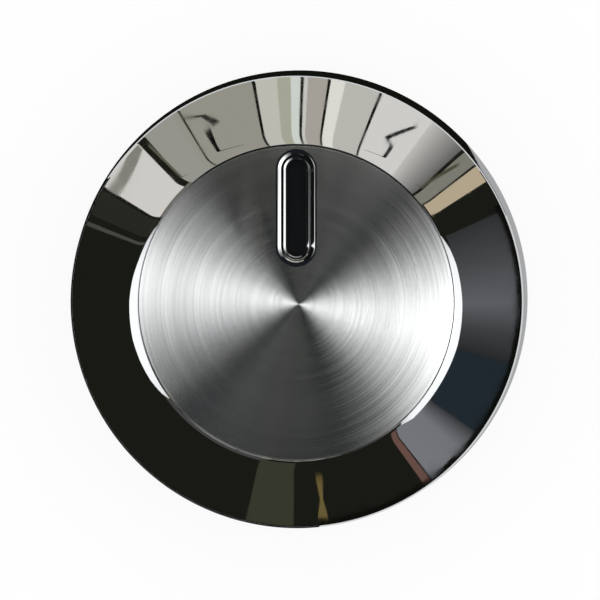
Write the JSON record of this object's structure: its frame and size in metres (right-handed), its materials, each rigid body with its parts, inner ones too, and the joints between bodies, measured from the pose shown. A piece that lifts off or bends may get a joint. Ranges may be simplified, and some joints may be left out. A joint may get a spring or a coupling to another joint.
{
  "type": "appliance control knob",
  "caption": "Round plated control knob with a conical bezel, a spun-brushed face disc, a sunk dark pointer and a ribbed moulded core that grips a D-shaped shaft.",
  "frame": {"origin": "centre of the rear rim, on the plane that the knob stands on and that faces the appliance's panel", "axes": "+Z along the shaft axis, out of the face; +Y from the axis towards the pointer's far end; +X to the right, seen from the front"},
  "size_m": [0.05, 0.05, 0.02],
  "materials": {
    "plated_zinc": "bright nickel-chrome plating on die-cast zinc",
    "brushed_aluminium": "spun-brushed in fine concentric lines, clear lacquer",
    "bonding_film": "translucent acrylic bonding film",
    "black_gloss": "high-gloss black moulding",
    "black_nylon": "glass-filled nylon, fine spark-eroded texture",
    "spring_steel": "rolled and tempered spring strip",
    "zinc_plated_steel": "clear zinc plating on steel screws"
  },
  "bodies": {
    "root": {"bezel_shell": "plated_zinc", "face_disc": "brushed_aluminium", "disc_tape": "bonding_film", "pointer_trim": "plated_zinc", "pointer_inlay": "black_gloss", "hub_core": "black_nylon", "shaft_spring": "spring_steel", "boss_ring": "spring_steel", "hub_screws": "zinc_plated_steel"}
  },
  "joints": []
}
